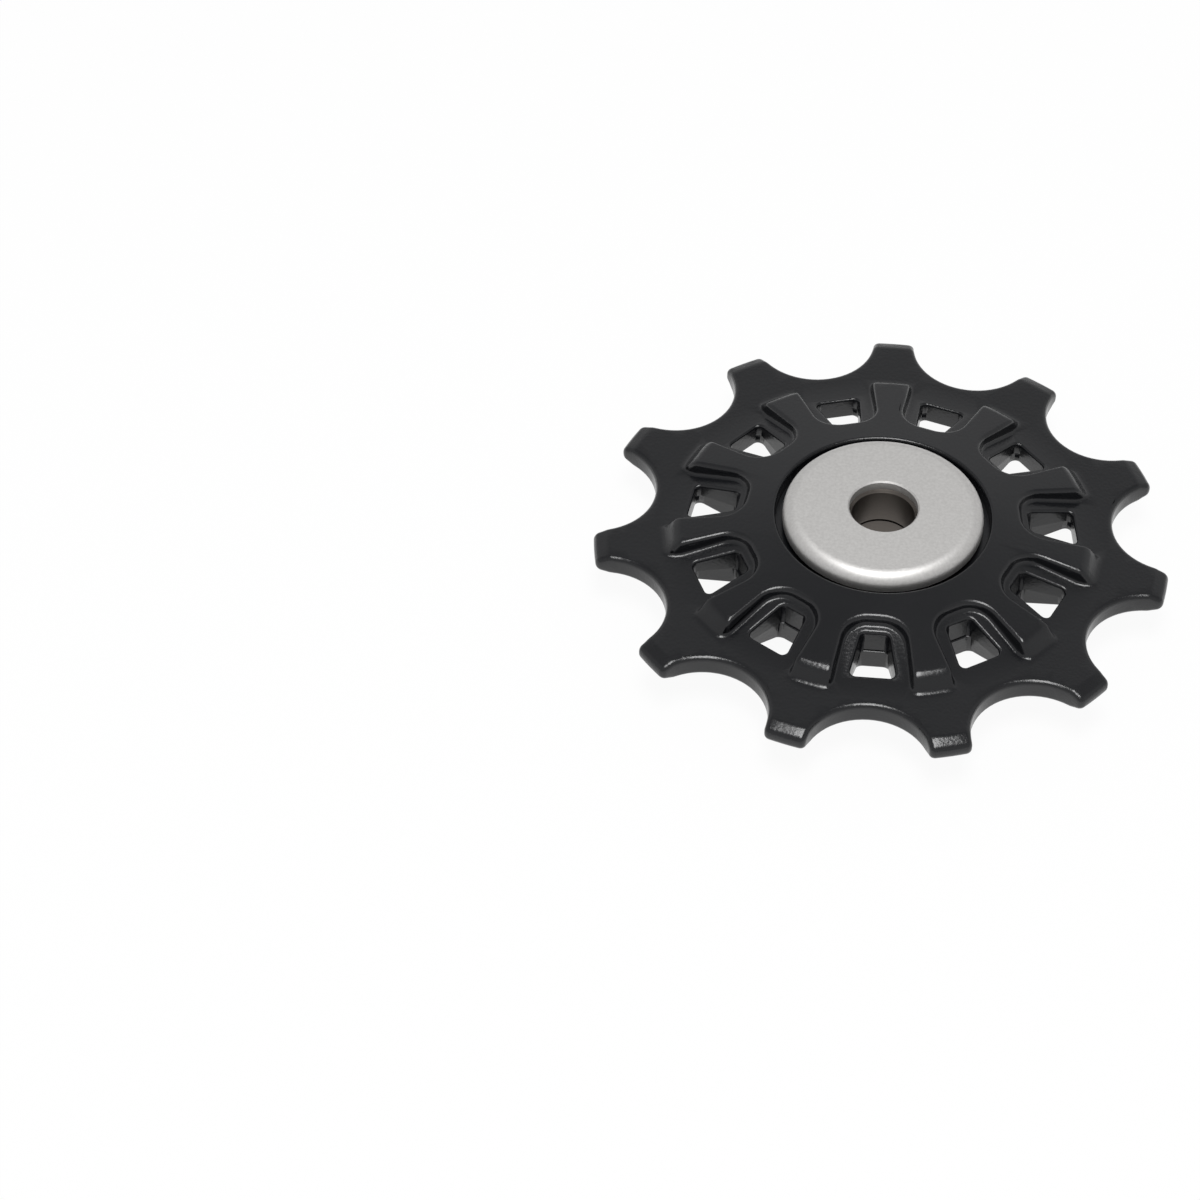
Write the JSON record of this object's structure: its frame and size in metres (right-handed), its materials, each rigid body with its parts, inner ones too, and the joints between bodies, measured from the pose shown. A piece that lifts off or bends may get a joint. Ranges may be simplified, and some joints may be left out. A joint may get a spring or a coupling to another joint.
{
  "type": "derailleur jockey wheel",
  "caption": "Toothed guide pulley for a bicycle derailleur: a moulded spoked wheel turning on a sealed ball bearing, with a stepped bush and pressed dust cap on each side.",
  "frame": {"origin": "middle of the axle bore, in the wheel's mid-plane", "axes": "+Z along the axle, out of the front cap; one tooth points along +Y"},
  "size_m": [0.0458, 0.0454, 0.0082],
  "materials": {
    "pulley_nylon": "satin moulded",
    "cap_steel": "satin, fine blasted",
    "bush_steel": "turned",
    "bearing_steel": "ground",
    "ball_steel": "polished",
    "seal_rubber": "matt",
    "cage_nylon": "moulded"
  },
  "bodies": {
    "hub": {"front_cap": "cap_steel", "rear_cap": "cap_steel", "front_bush": "bush_steel", "rear_bush": "bush_steel", "bearing_inner_ring": "bearing_steel"},
    "wheel": {"pulley_wheel": "pulley_nylon", "bearing_outer_ring": "bearing_steel", "bearing_front_seal": "seal_rubber", "bearing_rear_seal": "seal_rubber"},
    "ball_cage": {"bearing_cage": "cage_nylon"},
    "ball_01": {"bearing_ball_01": "ball_steel"},
    "ball_02": {"bearing_ball_02": "ball_steel"},
    "ball_03": {"bearing_ball_03": "ball_steel"},
    "ball_04": {"bearing_ball_04": "ball_steel"},
    "ball_05": {"bearing_ball_05": "ball_steel"},
    "ball_06": {"bearing_ball_06": "ball_steel"},
    "ball_07": {"bearing_ball_07": "ball_steel"},
    "ball_08": {"bearing_ball_08": "ball_steel"},
    "ball_09": {"bearing_ball_09": "ball_steel"},
    "ball_10": {"bearing_ball_10": "ball_steel"}
  },
  "joints": [
    {"name": "wheel_spin", "type": "hinge", "parent": "hub", "child": "wheel", "pos_m": [0, 0, 0], "axis": [0, 0, 1], "continuous": true},
    {"name": "cage_orbit", "type": "hinge", "parent": "hub", "child": "ball_cage", "pos_m": [0, 0, 0], "axis": [0, 0, 1], "continuous": true},
    {"name": "ball_01_roll", "type": "hinge", "parent": "ball_cage", "child": "ball_01", "pos_m": [0.0045, 0, 0], "axis": [0, 0, 1], "continuous": true},
    {"name": "ball_02_roll", "type": "hinge", "parent": "ball_cage", "child": "ball_02", "pos_m": [0.00364, 0.00265, 0], "axis": [0, 0, 1], "continuous": true},
    {"name": "ball_03_roll", "type": "hinge", "parent": "ball_cage", "child": "ball_03", "pos_m": [0.00139, 0.00428, 0], "axis": [0, 0, 1], "continuous": true},
    {"name": "ball_04_roll", "type": "hinge", "parent": "ball_cage", "child": "ball_04", "pos_m": [-0.00139, 0.00428, 0], "axis": [0, 0, 1], "continuous": true},
    {"name": "ball_05_roll", "type": "hinge", "parent": "ball_cage", "child": "ball_05", "pos_m": [-0.00364, 0.00265, 0], "axis": [0, 0, 1], "continuous": true},
    {"name": "ball_06_roll", "type": "hinge", "parent": "ball_cage", "child": "ball_06", "pos_m": [-0.0045, 0, 0], "axis": [0, 0, 1], "continuous": true},
    {"name": "ball_07_roll", "type": "hinge", "parent": "ball_cage", "child": "ball_07", "pos_m": [-0.00364, -0.00265, 0], "axis": [0, 0, 1], "continuous": true},
    {"name": "ball_08_roll", "type": "hinge", "parent": "ball_cage", "child": "ball_08", "pos_m": [-0.00139, -0.00428, 0], "axis": [0, 0, 1], "continuous": true},
    {"name": "ball_09_roll", "type": "hinge", "parent": "ball_cage", "child": "ball_09", "pos_m": [0.00139, -0.00428, 0], "axis": [0, 0, 1], "continuous": true},
    {"name": "ball_10_roll", "type": "hinge", "parent": "ball_cage", "child": "ball_10", "pos_m": [0.00364, -0.00265, 0], "axis": [0, 0, 1], "continuous": true}
  ],
  "couplings": [
    {"joint": "cage_orbit", "follows": "wheel_spin", "ratio": 0.58822},
    {"joint": "ball_01_roll", "follows": "wheel_spin", "ratio": 2.7455},
    {"joint": "ball_02_roll", "follows": "wheel_spin", "ratio": 2.7455},
    {"joint": "ball_03_roll", "follows": "wheel_spin", "ratio": 2.7455},
    {"joint": "ball_04_roll", "follows": "wheel_spin", "ratio": 2.7455},
    {"joint": "ball_05_roll", "follows": "wheel_spin", "ratio": 2.7455},
    {"joint": "ball_06_roll", "follows": "wheel_spin", "ratio": 2.7455},
    {"joint": "ball_07_roll", "follows": "wheel_spin", "ratio": 2.7455},
    {"joint": "ball_08_roll", "follows": "wheel_spin", "ratio": 2.7455},
    {"joint": "ball_09_roll", "follows": "wheel_spin", "ratio": 2.7455},
    {"joint": "ball_10_roll", "follows": "wheel_spin", "ratio": 2.7455}
  ]
}
